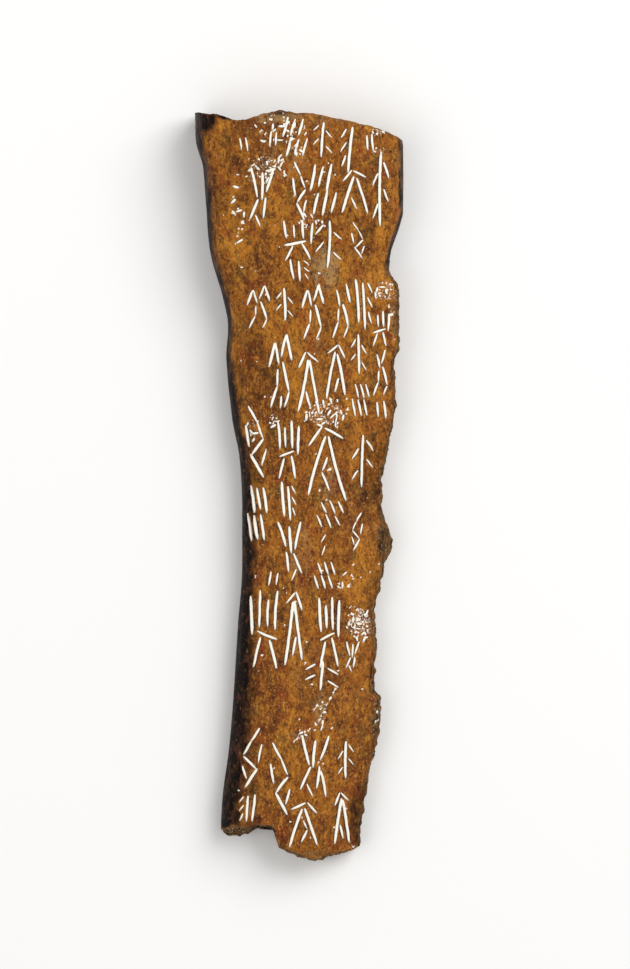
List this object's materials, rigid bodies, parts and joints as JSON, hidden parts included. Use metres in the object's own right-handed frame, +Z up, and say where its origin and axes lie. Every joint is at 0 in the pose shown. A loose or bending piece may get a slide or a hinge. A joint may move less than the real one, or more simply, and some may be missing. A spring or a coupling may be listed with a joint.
{
  "type": "ox scapula oracle bone",
  "caption": "Long fragment of an ox shoulder blade lying on its shaved back, with rows of shallow cut strokes on its front and charring hollows in its back.",
  "frame": {"origin": "middle of the bounding box, on the plane that the shaved back lies on", "axes": "+X across the bone towards its broken side, +Y along it to the socket end, +Z up through the inscribed front"},
  "size_m": [0.063, 0.228, 0.0205],
  "materials": {
    "old_bone": "aged brown bone, matt with a slight polish, cut strokes filled with white paste"
  },
  "bodies": {
    "root": {"scapula": "old_bone"}
  },
  "joints": []
}
